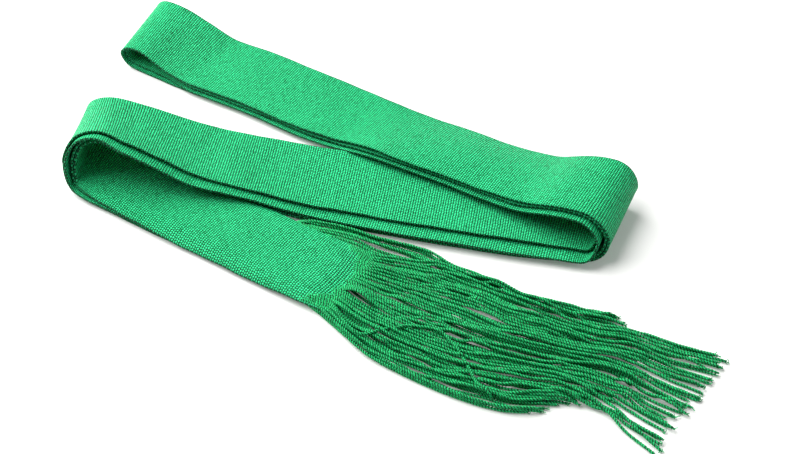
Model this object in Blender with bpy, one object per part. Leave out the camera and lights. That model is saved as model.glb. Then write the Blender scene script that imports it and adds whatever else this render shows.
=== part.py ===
"""A woven sash folded in four and laid in three stretches, with a corded fringe at each end.

The band is 50 mm wide. Folded in four it is a stack of four layers, and the stack lies in a
flat Z: an upper stretch at the back, an open turn at the right, a middle stretch, an open
turn at the left and a lower stretch, whose end carries the fringes. The upper stretch ends in
a loop, where the outer layers join each other and the inner layers join each other.

Every layer follows one surface, the middle of the stack, at its own distance from it.
X runs along the folded sash, Y across it to the back, Z up. Tables are in millimetres.
"""
import math

import bmesh
import bpy
import numpy as np

MM = 0.001

# The cloth
BAND_WIDTH = 50.0
CLOTH = 1.6            # thickness of one layer
PITCH = 2.0            # from one layer to the next in the stack
SEAM = 0.3             # between two pieces that meet end to end
GROOVE = 3.0           # how deep the gaps between layers are cut into a shared solid
LONGEST_FACET = 24.0   # between two sections of straight cloth
WIDEST_TURN = math.radians(19)      # between two sections of bent cloth
SAMPLES = 240          # places where the bend is measured along a piece
SMOOTH = math.radians(35)           # edges that turn less are shaded smooth
HALF = BAND_WIDTH / 2
FLAT = 1.5 * PITCH + CLOTH / 2      # height of the stack's middle where it lies on the floor
PAIR = PITCH / 2 + CLOTH / 2        # height of a two-layer pair's middle on the floor
ABOVE = PAIR + 2 * PITCH            # and of a pair that lies on it

# The fringe
CORDS = 34             # cords at each end of the band
CORD = 1.1             # width of one cord
CORD_FLOOR = 0.85      # height of the middle of a cord that lies on the floor
CORD_ABOVE = 2.5       # and of one that lies on the other fringe
STRIP = 3.0            # length of the strip that the cords grow from
CORD_STEPS = 11
CORD_CROWDING = 1.25   # how much closer the steps are near the strip
SHORTEST = 0.05        # share of its length that a cord may lack
LOOSE_BY = 1 / 3       # share of its length in which a cord starts to wander
TIP = 0.7              # width of a cord's tip, as a share of the cord
BUNCHES = 5            # groups that the cords of a fringe gather in
WAVES = 2.3            # waves along a cord
WAVE_LAG = 0.25        # waves between the first cord and the last

GREEN = (0.045, 0.55, 0.22, 1.0)
CORD_GREEN = (0.03, 0.44, 0.17, 1.0)
ROUGHNESS = 0.75

# The middle of the stack. Each row is a place along it: the centre in plan, how far the
# width is turned from Y towards X in degrees, the heights of the near edge, the middle and
# the far edge, how far the third layer stands out on the near side, and how far the upper
# and lower pairs of layers part.
SPINE = (
    # place                x       y    turn    near  middle     far   step   part
    ("upper start",    -160.0,   76.5,    6.0,   FLAT,   FLAT,   FLAT,   1.5,   0.0),
    ("upper flat",     -126.0,   74.0,    6.0,   FLAT,   FLAT,   FLAT,   2.0,   0.0),
    ("upper floor",     -86.0,   69.0,    6.0,   FLAT,   FLAT,   FLAT,   2.4,   0.0),
    ("upper climb",     -58.0,   66.0,    6.0,    7.4,    4.6,   FLAT,   2.4,   0.0),
    ("upper on",        -40.0,   62.5,    6.0,   12.3,    8.4,   FLAT,   2.4,   0.0),
    ("upper lie",       -19.0,   60.5,    6.0,   12.1,   10.4,   FLAT,   2.4,   0.0),
    ("upper cross",      11.0,   58.5,    6.0,   12.1,   11.8,   FLAT,   2.4,   0.0),
    ("upper rise",       41.0,   55.5,    6.0,   13.0,   13.0,    5.2,   2.6,   0.0),
    ("upper swell",      63.0,   52.5,    5.5,   16.0,   16.0,   10.5,   3.0,   0.0),
    ("upper shoulder",   81.0,   50.5,    4.5,   22.5,   22.5,   19.5,   3.5,   0.0),
    ("right crown",      98.0,   50.5,    3.0,   24.8,   24.4,   23.0,   4.0,   0.2),
    ("right brow",      106.5,   49.5,    0.0,   21.5,   21.2,   20.6,   4.5,   0.8),
    ("right side",      110.5,   48.0,   -2.0,   14.0,   14.0,   13.8,   5.5,   1.2),
    ("right heel",      107.8,   45.5,   -4.0,    6.8,    6.8,    6.8,   6.5,   0.9),
    ("right foot",      100.0,   43.5,   -7.5,   FLAT,   FLAT,   FLAT,   7.5,   0.0),
    ("middle start",     90.0,   41.5,  -11.0,   FLAT,   FLAT,   FLAT,   8.0,   0.0),
    ("middle flat",      63.0,   35.0,  -11.0,   FLAT,   FLAT,   FLAT,   8.0,   0.0),
    ("middle centre",     8.0,   23.5,  -11.0,   FLAT,   FLAT,   FLAT,   8.0,   0.0),
    ("middle floor",    -43.0,   13.5,  -11.5,   FLAT,   FLAT,   FLAT,   8.0,   0.0),
    ("middle climb",    -68.0,    8.0,  -12.0,    8.2,    5.0,    4.0,   8.0,   0.0),
    ("middle lift",     -86.0,    4.5,  -12.0,   12.0,    8.0,    4.4,   8.0,   0.0),
    ("middle on",      -101.0,    0.5,  -12.0,   13.0,   10.4,    5.4,   8.0,   0.0),
    ("middle rise",    -121.0,   -4.0,  -12.0,   15.8,   12.2,    7.2,   8.0,   0.0),
    ("middle swell",   -141.0,   -8.5,  -12.5,   22.2,   16.6,   11.2,   8.0,   0.0),
    ("middle end",     -161.0,  -13.0,  -15.0,   29.5,   22.2,   16.4,   7.5,   0.0),
    ("left crown",     -180.4,  -17.0,  -22.0,   34.5,   26.2,   19.6,   6.5,   0.0),
    ("left brow",      -188.4,  -21.0,  -20.5,   30.8,   23.4,   17.8,   5.0,   0.4),
    ("left side",      -191.6,  -25.0,  -17.0,   19.0,   15.0,   12.0,   3.5,   0.8),
    ("left heel",      -188.4,  -28.0,  -14.5,    7.4,    6.9,    6.5,   2.5,   0.4),
    ("left foot",      -176.0,  -30.5,   -6.0,   FLAT,   FLAT,   FLAT,   2.0,   0.0),
    ("lower start",    -160.0,  -33.5,    9.0,   FLAT,   FLAT,   FLAT,   1.5,   0.0),
    ("lower flat",     -141.0,  -36.8,    9.0,   FLAT,   FLAT,   FLAT,   1.0,   0.0),
    ("lower centre",    -85.0,  -45.0,    9.0,   FLAT,   FLAT,   FLAT,   0.6,   0.0),
    ("lower under",     -31.0,  -52.5,    8.5,   FLAT,   FLAT,   FLAT,   0.6,   0.0),
    ("lower end",        -4.0,  -55.0,    7.0,   FLAT,   FLAT,   FLAT,   0.6,   0.0),
)

# The middle of the pair of layers that makes the loop at the upper stretch's end, from the
# floor round to the top of the stack. Its rows are like those above.
END_LOOP = (
    # place                x       y    turn    near  middle     far   step   part
    ("loop before",    -150.0,   75.5,    6.0,   PAIR,   PAIR,   PAIR,   0.0,   0.0),
    ("loop start",     -160.0,   76.5,    6.0,   PAIR,   PAIR,   PAIR,   0.0,   0.0),
    ("loop floor",     -193.5,   80.5,    2.0,   PAIR,   PAIR,   PAIR,   0.0,   0.0),
    ("loop foot",      -207.1,   81.9,   -4.0,    2.0,    2.0,    2.0,   0.0,   0.0),
    ("loop heel",      -215.0,   82.6,   -7.5,    4.2,    4.2,    4.2,   0.0,   0.0),
    ("loop side",      -218.2,   83.0,   -8.5,    9.0,    9.0,    9.2,   0.0,   0.0),
    ("loop brow",      -215.2,   82.6,   -8.5,   13.2,   13.5,   13.8,   0.0,   0.0),
    ("loop crown",     -206.2,   81.6,   -6.5,   15.1,   15.5,   15.8,   0.0,   0.0),
    ("loop slope",     -183.5,   79.2,    1.5,    8.8,   10.8,   12.8,   0.0,   0.0),
    ("loop end",       -160.0,   76.5,    6.0,  ABOVE,  ABOVE,  ABOVE,   0.0,   0.0),
    ("loop after",     -150.0,   75.5,    6.0,  ABOVE,  ABOVE,  ABOVE,   0.0,   0.0),
)


# How far the layers end before the top layer at the fringed end.
UNDER_BACK = 45.0      # the second layer, which carries the other fringe
CORE_BACK = 14.0       # the two lowest layers
END_DROOP = 2.0        # how far the top layer's end sinks onto the cords beneath
INNER_BACK = 2.0       # how far the end loop's inner layer lies behind the outer one

# The cords at each end lie between a near and a far border in plan, from the strip to their
# tips: rows of x and y.
TOP_NEAR = ((25.0, -83.0), (60.0, -84.5), (95.0, -82.0), (125.0, -80.0), (150.0, -80.0),
            (172.0, -86.0), (187.0, -90.0))
TOP_FAR = ((25.0, -28.0), (60.0, -26.0), (95.0, -27.5), (130.0, -27.0), (150.0, -21.5),
           (172.0, -20.5), (198.0, -17.5))
UNDER_NEAR = ((-17.0, -79.5), (5.0, -89.5), (27.0, -97.0), (53.0, -101.0), (80.0, -103.0),
              (104.0, -101.5), (124.0, -93.0))
UNDER_FAR = ((-23.0, -20.0), (0.0, -15.5), (18.0, -13.0), (42.0, -15.5), (76.0, -17.5),
             (104.0, -17.0), (136.0, -13.0))

# Heights of the cords' middles, by the distance in X from their strip.
TOP_HEIGHTS = ((0.0, 4.8), (5.0, 4.7), (28.0, CORD_ABOVE), (120.0, CORD_ABOVE),
               (165.0, CORD_FLOOR), (220.0, CORD_FLOOR))
UNDER_HEIGHTS = ((0.0, 4.8), (29.0, 4.8), (50.0, CORD_FLOOR), (250.0, CORD_FLOOR))


def limited_slopes(where, values):
    """Slopes for a smooth curve through the values that never swings past them."""
    steps = np.diff(where)
    rises = np.diff(values) / steps
    slopes = np.zeros(len(values))
    slopes[0] = rises[0]
    slopes[-1] = rises[-1]
    for i in range(1, len(values) - 1):
        before, after = rises[i - 1], rises[i]
        if before * after > 0:
            mean = (before * steps[i] + after * steps[i - 1]) / (steps[i] + steps[i - 1])
            most = 3 * min(abs(before), abs(after))
            slopes[i] = math.copysign(min(abs(mean), most), mean)
    return slopes


def curve_at(where, values, s):
    """The smooth curve's value at the distance s."""
    slopes = limited_slopes(where, values)
    i = int(np.clip(np.searchsorted(where, s) - 1, 0, len(where) - 2))
    length = where[i + 1] - where[i]
    t = (s - where[i]) / length
    return ((2 * t**3 - 3 * t**2 + 1) * values[i] + (t**3 - 2 * t**2 + t) * length * slopes[i]
            + (3 * t**2 - 2 * t**3) * values[i + 1] + (t**3 - t**2) * length * slopes[i + 1])


class Surface:
    """A ribbon-wide surface through the rows of a table."""

    def __init__(self, table):
        self.names = [row[0] for row in table]
        self.rows = np.array([row[1:] for row in table], dtype=float)
        centres = self.rows[:, [0, 1, 4]]
        self.where = np.concatenate(
            ([0], np.cumsum(np.linalg.norm(np.diff(centres, axis=0), axis=1))))

    def station(self, name):
        """Distance along the surface of a named row."""
        return self.where[self.names.index(name)]

    def values(self, s):
        return [curve_at(self.where, column, s) for column in self.rows.T]

    def point(self, s, w):
        """The point at distance s and at w across, from -1 at the near edge to 1."""
        x, y, turn, near, middle, far, _, _ = self.values(s)
        angle = math.radians(turn)
        fall = (far - near) / BAND_WIDTH
        level = math.sqrt(max(0.0, 1 - fall * fall))
        across = HALF * level * w
        height = middle + (far - near) / 2 * w + ((far + near) / 2 - middle) * w * w
        return np.array((x + across * math.sin(angle), y + across * math.cos(angle), height))

    def normal(self, s, w):
        """Unit normal, up on the upper and lower stretches."""
        ds, dw = 0.4, 0.02
        along = self.point(s + ds, w) - self.point(s - ds, w)
        across = self.point(s, w + dw) - self.point(s, w - dw)
        normal = np.cross(along, across)
        return normal / np.linalg.norm(normal)

    def offset(self, s, w, distance):
        return self.point(s, w) + distance * self.normal(s, w)


class Layer:
    """One layer of cloth: its distance from the surface and its shift to the near side.

    It shares in the parting and the step of the surface's rows, and may droop along its end.
    """

    def __init__(self, distance, shift=0.0, parting=0.0, step=0.0, droop=None):
        self.distance = distance
        self.shift = shift
        self.parting = parting
        self.step = step
        self.droop = droop

    def at(self, surface, s):
        step, part = surface.values(s)[6:8]
        fall = self.droop(s) if self.droop else 0.0
        return self.distance + self.parting * part - fall, (self.shift + self.step * step) / HALF


def stack_layer(number, droop=None):
    """Layer 1 to 4 of the stack, from the one that is uppermost in the upper stretch."""
    return Layer((2.5 - number) * PITCH, parting=0.5 if number < 3 else -0.5,
                 step=1.0 if number == 3 else 0.0, droop=droop)


def fingers(edges, side):
    """Each layer's points on one side: out along its top, then back along its bottom.

    Between two layers a groove runs in from the side, and where one layer ends before the
    other, the other has a point beside that end.
    """
    chains = []
    ends = [side - shift for shift, _, _ in edges]
    for k, (_, top, bottom) in enumerate(edges):
        above, below = [], []
        for other, chain, level in ((k - 1, above, top), (k + 1, below, bottom)):
            if 0 <= other < len(edges):
                inner = min(ends[k], ends[other], key=abs)
                chain.append((inner - side * GROOVE / HALF, level))
                if abs(inner - ends[k]) > 1e-6:
                    chain.append((inner, level))
        chains.append((above + [(ends[k], top)], [(ends[k], bottom)] + below[::-1]))
    return chains


def outline(surface, s, layers, columns):
    """Round a stack of layers at s: places across the width with their distances.

    The first and second lists are the columns of the top and of the bottom, the third holds
    the far side's fingers and the fourth the near side's.
    """
    edges = []
    for layer in layers:
        distance, shift = layer.at(surface, s)
        edges.append((shift, distance + CLOTH / 2, distance - CLOTH / 2))
    inner = np.linspace(-1, 1, columns + 2)[1:-1]
    top = [(w - edges[0][0], edges[0][1]) for w in inner]
    bottom = [(w - edges[-1][0], edges[-1][2]) for w in inner]
    return top, bottom, fingers(edges, 1), fingers(edges, -1)


def fill_side(shape, top, bottom, chains):
    """Close the end of a stack of layers between its last column and its side."""
    core = [top]
    for k, (above, below) in enumerate(chains):
        above = above if k else [top] + above
        below = below if k < len(chains) - 1 else below + [bottom]
        for a, b in zip(below, below[1:]):
            shape.faces.new((above[-1], a, b))
        for a, b in zip(above, above[1:]):
            shape.faces.new((below[-1], a, b))
        core += [above[0]] * (k > 0) + [below[-1]] * (k < len(chains) - 1)
    if len(chains) > 1:
        for a, b in zip(core[1:] + [bottom], core[2:] + [bottom]):
            if a is not b:
                shape.faces.new((top, a, b))


def sections(surface, start, end):
    """Places for a piece's rings, close together where the cloth bends."""
    fine = np.linspace(start, end, SAMPLES)
    effort = np.zeros(len(fine))
    for w in (-1, 1):
        lines = np.diff([surface.point(s, w) for s in fine], axis=0)
        lengths = np.linalg.norm(lines, axis=1)
        ways = lines / lengths[:, None]
        bends = np.arccos(np.clip(np.sum(ways[1:] * ways[:-1], axis=1), -1, 1))
        cost = lengths / LONGEST_FACET
        cost[1:] += bends / WIDEST_TURN
        effort = np.maximum(effort, np.concatenate(([0], np.cumsum(cost))))
    count = math.ceil(effort[-1]) + 1
    return np.interp(np.linspace(0, effort[-1], count), effort, fine)


def finish_object(name, mesh, material):
    mesh.materials.append(material)
    for polygon in mesh.polygons:
        polygon.use_smooth = True
    mesh.set_sharp_from_angle(angle=SMOOTH)
    piece = bpy.data.objects.new(name, mesh)
    bpy.context.collection.objects.link(piece)
    return piece


def cloth_piece(name, surface, start, end, layers, columns, material, also=()):
    """A closed solid of one or more layers between two distances along the surface.

    It has a ring at each of the places in also, besides those that its bends need.
    """
    shape = bmesh.new()
    rings, ends = [], []
    for s in np.union1d(sections(surface, start + SEAM / 2, end - SEAM / 2), also):
        top, bottom, far, near = outline(surface, s, layers, columns)

        def vertex(place):
            return shape.verts.new(np.round(surface.offset(s, *place), 5) * MM)

        far_chains = [([vertex(p) for p in above], [vertex(p) for p in below])
                      for above, below in far]
        near_chains = [([vertex(p) for p in above], [vertex(p) for p in below])
                       for above, below in near]
        tops = [vertex(p) for p in top]
        bottoms = [vertex(p) for p in bottom]
        far_side = [v for chain in far_chains for part in chain for v in part]
        near_side = [v for chain in near_chains for part in chain for v in part]
        rings.append(tops + far_side + bottoms[::-1] + near_side[::-1])
        ends.append((tops, bottoms, far_chains, near_chains))
    across = ([w for w, _ in top] + [w for above, below in far for w, _ in above + below]
              + [w for w, _ in bottom[::-1]]
              + [w for above, below in near for w, _ in above + below][::-1])
    for before, after in zip(rings, rings[1:]):
        for i in range(len(across)):
            j = (i + 1) % len(across)
            # Every layer is split along the same diagonal, so that neighbours stay apart.
            if across[i] < across[j]:
                shape.faces.new((before[i], before[j], after[j]))
                shape.faces.new((before[i], after[j], after[i]))
            else:
                shape.faces.new((before[i], before[j], after[i]))
                shape.faces.new((before[j], after[j], after[i]))
    for tops, bottoms, far_chains, near_chains in (ends[0], ends[-1]):
        for i in range(columns - 1):
            shape.faces.new((tops[i], tops[i + 1], bottoms[i + 1]))
            shape.faces.new((tops[i], bottoms[i + 1], bottoms[i]))
        fill_side(shape, tops[-1], bottoms[-1], far_chains)
        fill_side(shape, tops[0], bottoms[0], near_chains)
    bmesh.ops.recalc_face_normals(shape, faces=shape.faces[:])
    mesh = bpy.data.meshes.new(name)
    shape.to_mesh(mesh)
    shape.free()
    return finish_object(name, mesh, material)


def cloth_material(name, colour):
    material = bpy.data.materials.new(name)
    material.use_nodes = True
    shader = material.node_tree.nodes["Principled BSDF"]
    shader.inputs["Base Color"].default_value = colour
    shader.inputs["Roughness"].default_value = ROUGHNESS
    shader.inputs["Metallic"].default_value = 0.0
    return material


class Polyline:
    """A smooth curve in plan through a few points, by the share of its length."""

    def __init__(self, points):
        self.points = np.array(points)
        steps = np.linalg.norm(np.diff(self.points, axis=0), axis=1)
        self.where = np.concatenate(([0], np.cumsum(steps)))

    def at(self, share):
        s = share * self.where[-1]
        return np.array([curve_at(self.where, column, s) for column in self.points.T])


def fringe_piece(name, surface, start, layer, borders, heights, bunch, wave, seed, material):
    """A narrow strip of cloth with its row of cords, all one closed solid."""
    chance = np.random.default_rng(seed)
    half_cord = CORD / 2 / HALF
    middles = -1 + (np.arange(CORDS) + 0.5) * 2 / CORDS
    columns = np.sort(np.concatenate(([-1, 1], middles - half_cord, middles + half_cord)))
    shape = bmesh.new()
    rows = {}
    for s in (start + SEAM / 2, start + STRIP):
        distance, shift = layer.at(surface, s)
        for side in (1, -1):
            points = [surface.offset(s, w - shift, distance + side * CLOTH / 2) for w in columns]
            rows[s, side] = [shape.verts.new(point * MM) for point in points]
    (back_top, back_low, front_top, front_low) = rows.values()
    for i in range(len(columns) - 1):
        shape.faces.new((back_top[i], back_top[i + 1], front_top[i + 1], front_top[i]))
        shape.faces.new((back_low[i], front_low[i], front_low[i + 1], back_low[i + 1]))
        shape.faces.new((back_top[i], back_low[i], back_low[i + 1], back_top[i + 1]))
        if i % 2 == 0:
            shape.faces.new((front_top[i], front_top[i + 1], front_low[i + 1], front_low[i]))
    for i in (0, -1):
        shape.faces.new((back_top[i], front_top[i], front_low[i], back_low[i]))

    roots = [np.mean([np.array(row[i].co) for row in (front_top, front_low)], axis=0) / MM
             for i in (0, -1)]
    near, far = (Polyline([tuple(root[:2])] + list(border))
                 for root, border in zip(roots, borders))
    reach, height = np.array(heights).T
    for i in range(CORDS):
        share = (i + 0.5) / CORDS
        length = 1 - SHORTEST * chance.random()

        def place(t):
            loose = min(1.0, t / LOOSE_BY)
            turns = 2 * math.pi * BUNCHES
            v = share + bunch * loose * math.sin(turns * share) / turns
            point = near.at(t) * (1 - v) + far.at(t) * v
            sway = wave * loose * math.sin(2 * math.pi * (WAVES * t + WAVE_LAG * share))
            z = curve_at(reach, height, point[0] - roots[0][0] * (1 - v) - roots[1][0] * v)
            return np.array((point[0], point[1] + sway, z))

        left = 2 * i + 1
        ring_before = [front_top[left], front_top[left + 1],
                       front_low[left + 1], front_low[left]]
        for step in range(1, CORD_STEPS + 1):
            t = min(length, (step / CORD_STEPS) ** CORD_CROWDING)
            middle = place(t)
            along = place(t + 0.004) - place(t - 0.004)
            along /= np.linalg.norm(along)
            across = np.cross((0, 0, 1), along)
            across /= np.linalg.norm(across)
            up = np.cross(along, across)
            size = CORD / 2 * (TIP if step == CORD_STEPS else 1.0)
            ring_after = [shape.verts.new((middle + size * (a * across + b * up)) * MM)
                          for a, b in ((-1, 1), (1, 1), (1, -1), (-1, -1))]
            for k in range(4):
                m = (k + 1) % 4
                shape.faces.new((ring_before[k], ring_before[m], ring_after[m], ring_after[k]))
            ring_before = ring_after
        shape.faces.new(ring_before)
    bmesh.ops.recalc_face_normals(shape, faces=shape.faces[:])
    mesh = bpy.data.meshes.new(name)
    shape.to_mesh(mesh)
    shape.free()
    return finish_object(name, mesh, material)


def set_on_origin(pieces):
    """Move every piece so that the origin is the middle of the box's underside."""
    points = np.array([corner for piece in pieces for corner in
                       (vertex.co[:] for vertex in piece.data.vertices)])
    low, high = points.min(axis=0), points.max(axis=0)
    shift = -(low + high) / 2
    shift[2] = 0.0
    for piece in pieces:
        for vertex in piece.data.vertices:
            vertex.co.x += shift[0]
            vertex.co.y += shift[1]


def build():
    for old in list(bpy.data.objects):
        bpy.data.objects.remove(old, do_unlink=True)
    cloth = cloth_material("woven_band", GREEN)
    cords = cloth_material("twisted_cord", CORD_GREEN)
    spine = Surface(SPINE)
    loop = Surface(END_LOOP)
    end = spine.station("lower end")
    core_end = end - CORE_BACK
    under_end = end - UNDER_BACK

    def droop(s):
        share = float(np.clip((s - core_end) / CORE_BACK, 0, 1))
        return END_DROOP * share**2 * (3 - 2 * share)

    def span(first, last):
        return spine.station(first), spine.station(last)

    one, two, three, four = (stack_layer(number) for number in (1, 2, 3, 4))
    one_end = stack_layer(1, droop)
    upper = span("upper start", "upper shoulder")
    right = span("upper shoulder", "middle start")
    middle = span("middle start", "middle end")
    left = span("middle end", "lower start")
    lower = spine.station("lower start")
    loop_span = loop.station("loop start"), loop.station("loop end")
    outer = Layer(PITCH / 2)
    inner = Layer(-PITCH / 2, -INNER_BACK)
    pieces = [
        cloth_piece("upper_stretch_face", spine, *upper, [one], 3, cloth),
        cloth_piece("upper_stretch_core", spine, *upper, [two, three, four], 3, cloth),
        cloth_piece("right_turn_outer", spine, *right, [one, two], 3, cloth),
        cloth_piece("right_turn_inner", spine, *right, [three, four], 3, cloth),
        cloth_piece("middle_stretch_face", spine, *middle, [four], 3, cloth),
        cloth_piece("middle_stretch_core", spine, *middle, [one, two, three], 3, cloth),
        cloth_piece("left_turn_outer", spine, *left, [three, four], 3, cloth),
        cloth_piece("left_turn_inner", spine, *left, [one, two], 3, cloth),
        cloth_piece("lower_stretch_face", spine, lower, end, [one_end], 3, cloth,
                    (core_end, core_end + CORE_BACK / 2)),
        cloth_piece("lower_stretch_second", spine, lower, under_end, [two], 1, cloth),
        cloth_piece("lower_stretch_core", spine, lower, core_end, [three, four], 1, cloth),
        cloth_piece("end_loop_outer", loop, *loop_span, [outer], 1, cloth),
        cloth_piece("end_loop_inner", loop, *loop_span, [inner], 1, cloth),
        fringe_piece("fringe_top", spine, end, one_end, (TOP_NEAR, TOP_FAR), TOP_HEIGHTS,
                     0.1, 1.5, 4, cords),
        fringe_piece("fringe_under", spine, under_end, two, (UNDER_NEAR, UNDER_FAR),
                     UNDER_HEIGHTS, 0.4, 1.2, 9, cords),
    ]
    set_on_origin(pieces)


build()
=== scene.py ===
"""A woven gartel, folded in four and laid in a flat zigzag, with its warp twisted into cords.

Lengths in the tables are in millimetres, and everything made from them is in metres.
"""
import math

import bpy
import numpy as np
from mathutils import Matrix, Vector


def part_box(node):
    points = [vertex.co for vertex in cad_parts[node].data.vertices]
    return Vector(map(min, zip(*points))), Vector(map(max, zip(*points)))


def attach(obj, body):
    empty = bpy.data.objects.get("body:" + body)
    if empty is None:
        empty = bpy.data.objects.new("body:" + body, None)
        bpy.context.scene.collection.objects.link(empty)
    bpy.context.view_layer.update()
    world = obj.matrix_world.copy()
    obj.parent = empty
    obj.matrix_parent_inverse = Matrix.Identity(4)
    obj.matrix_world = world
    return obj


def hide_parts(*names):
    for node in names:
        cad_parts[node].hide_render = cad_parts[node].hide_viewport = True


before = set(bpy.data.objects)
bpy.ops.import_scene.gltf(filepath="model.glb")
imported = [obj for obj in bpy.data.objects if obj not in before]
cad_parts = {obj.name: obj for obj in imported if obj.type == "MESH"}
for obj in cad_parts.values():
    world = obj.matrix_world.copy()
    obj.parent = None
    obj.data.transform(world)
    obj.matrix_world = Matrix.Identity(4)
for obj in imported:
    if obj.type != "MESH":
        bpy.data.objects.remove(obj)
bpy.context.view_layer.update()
MM = 0.001

# The table it lies on, the studio's lights and the camera.
# A white seamless sheet under soft light: a large lamp behind on the left, and a pale room.
CAMERA_TURN = math.radians(25)      # of the camera round the sash, from the front to the right
CAMERA_RISE = math.radians(44)      # over the table
CAMERA_DISTANCE = 1.06              # in metres, from the picture's middle
FLOOR_HALF = 4.0                    # in metres, from the floor's middle to its edges
FLOOR_LOW = 0.2 * MM                # how far it lies under the sash
middle_point = Vector((14.623, -3.516, 0.0)) * MM       # of the picture, on the table
to_camera = Vector((math.sin(CAMERA_TURN) * math.cos(CAMERA_RISE),
                    -math.cos(CAMERA_TURN) * math.cos(CAMERA_RISE), math.sin(CAMERA_RISE)))
to_right = Vector((math.cos(CAMERA_TURN), math.sin(CAMERA_TURN), 0.0))
away = Vector((-math.sin(CAMERA_TURN), math.cos(CAMERA_TURN), 0.0))
camera_data = bpy.data.cameras.new("camera")
camera_data.lens = 85
camera_data.sensor_width = 36
camera_data.sensor_fit = "HORIZONTAL"
camera = bpy.data.objects.new("camera", camera_data)
camera.location = middle_point + CAMERA_DISTANCE * to_camera
camera.rotation_euler = to_camera.to_track_quat("Z", "Y").to_euler()
bpy.context.collection.objects.link(camera)
bpy.context.scene.camera = camera


def srgb(code):
    """A linear colour from an sRGB hex value."""
    parts = [int(code[i:i + 2], 16) / 255 for i in (1, 3, 5)]
    return (*[p / 12.92 if p <= 0.04045 else ((p + 0.055) / 1.055) ** 2.4 for p in parts], 1.0)


paper = bpy.data.materials.new("white_paper")
paper.use_nodes = True
paper_shader = paper.node_tree.nodes["Principled BSDF"]
paper_shader.inputs["Base Color"].default_value = srgb("#DADAD8")
paper_shader.inputs["Roughness"].default_value = 0.9
paper_shader.inputs["Emission Color"].default_value = (1.0, 1.0, 1.0, 1.0)
paper_shader.inputs["Emission Strength"].default_value = 0.12
floor_mesh = bpy.data.meshes.new("floor")
floor_corners = [(x * FLOOR_HALF, y * FLOOR_HALF, 0.0)
                 for x, y in ((-1, -1), (1, -1), (1, 1), (-1, 1))]
floor_mesh.from_pydata(floor_corners, [], [(0, 1, 2, 3)])
floor_mesh.materials.append(paper)
floor = bpy.data.objects.new("floor", floor_mesh)
floor.location.z = -FLOOR_LOW
bpy.context.collection.objects.link(floor)

# Round lamps, by their place from the picture's middle as the camera sees it, in metres.
LAMPS = (
    # name     to right   away    up   size  watts
    ("key",       -0.90,  0.55,  1.22,  2.2,  79.0),
    ("fill",       1.00, -0.40,  0.70,  0.8,   3.0),
)
for name, right_way, away_way, up_way, size, watts in LAMPS:
    light = bpy.data.lights.new(name, "AREA")
    light.shape = "DISK"
    light.size = size
    light.energy = watts
    lamp = bpy.data.objects.new(name, light)
    lamp.location = middle_point + right_way * to_right + away_way * away + Vector((0, 0, up_way))
    lamp.rotation_euler = (lamp.location - middle_point).to_track_quat("Z", "Y").to_euler()
    bpy.context.collection.objects.link(lamp)
room = bpy.data.worlds.new("room")
room.use_nodes = True
room.node_tree.nodes["Background"].inputs["Color"].default_value = (1.0, 1.0, 1.0, 1.0)
room.node_tree.nodes["Background"].inputs["Strength"].default_value = 0.22
bpy.context.scene.world = room
bpy.context.scene.view_settings.view_transform = "Standard"

# The three stretches and the two turns between them.
# One long band of ribbed silk weave, 50 mm wide, folded in four. Its layers lie loose on each
# other, so every layer is a thin shell of its own, and the third one stands out at the front.
BAND_WIDTH = 50.0
HALF = BAND_WIDTH / 2
PITCH = 2.0            # from one layer to the next
CLOTH = 1.15           # thickness of the weave
SELVEDGE = 0.2         # how much thicker the weave is at its edges, as a share
SELVEDGE_WIDTH = 0.8   # over how much of them it is
ROUND = np.radians((45, 90, 135))   # where the points round a selvedge lie
FLAT = 3.8             # height of the stack's middle where it lies on the floor
PAIR = 1.8             # height of a two-layer pair's middle on the floor
ABOVE = PAIR + 2 * PITCH            # and of a pair that lies on it
END_DROOP = 2.0        # how far the top layer's end sinks onto the cords beneath
CORE_BACK = 14.0       # how far the lowest layers end before the top one
UNDER_BACK = 54.0      # how far the second layer ends before the top one
DRAWN_BACK = 2.0       # how far the hidden layers' edges draw in at their ends
DRAWN_LENGTH = 70.0    # over how much of their ends they do
NEAR_DROOP = 5.4       # how far the top layer's near edge hangs down on the lower stretch
FAR_DROOP = 0.5        # how far its far edge does, as a share of the near one's droop
DROOP_WIDTH = 0.42     # over how much of its half width it bends down
DROOP_BUILD = 0.8      # how the droop builds up along the stretch, as a power of the way gone
DROOP_END = 40.0       # over how much of the band's end it lessens
DROOP_LESS = 0.45      # by what share it is less at the very end
TUCKED = {2: 6.5, 3: 3.2, 4: 1.5}   # how far the near edges of the layers below are tucked in
FAR_TUCK = 0.5         # how far their far edges are, as a share of the near ones' tuck
SUNK = {2: 0.25, 3: 0.1}            # how far they sink, as a share of the top layer's droop
UNDER_STEP = (         # how far the two lowest layers of the middle stretch stand out, by place
    ("right heel", 0.0), ("middle start", 3.5), ("middle flat", 5.4), ("middle centre", 5.8),
    ("middle floor", 5.6), ("middle climb", 4.6), ("middle lift", 1.6), ("middle on", -1.5),
    ("middle rise", -1.0), ("middle swell", 0.0))
LONGEST_STEP = 2.6     # between two rows of the shell where it is straight
WIDEST_BEND = math.radians(5)       # between two rows where it bends
COLUMNS = 22           # places across the band
SHARP = math.radians(50)            # edges of the shell that turn more are shaded sharp
LIFT = 0.28            # how high the stack's soft waves rise
LIFT_SLANT = 9.0       # how much further along they come at the far edge than in the middle
EASE = 0.35            # how far the uppermost layer's far edge rises off the next
NEAR_EASE = 1.0        # how far its near edge does
EASE_SLANT = 5.0       # how much further along the far edge's rises come
EASE_UNEVEN = 0.4      # what share of the rise comes and goes
EASE_FADE = 30.0       # in what distance a layer's edges begin or cease to rise
BEFORE_CROWN = 20.0    # how far before the right crown the first layer's have ceased
PAST_CROWN = 40.0      # how far past the left crown they begin again
LOOP_FADE = 25.0       # over how much of the upper stretch waves and rises come in
WANDER = 0.3           # how far the selvedges wander from a straight line
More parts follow.
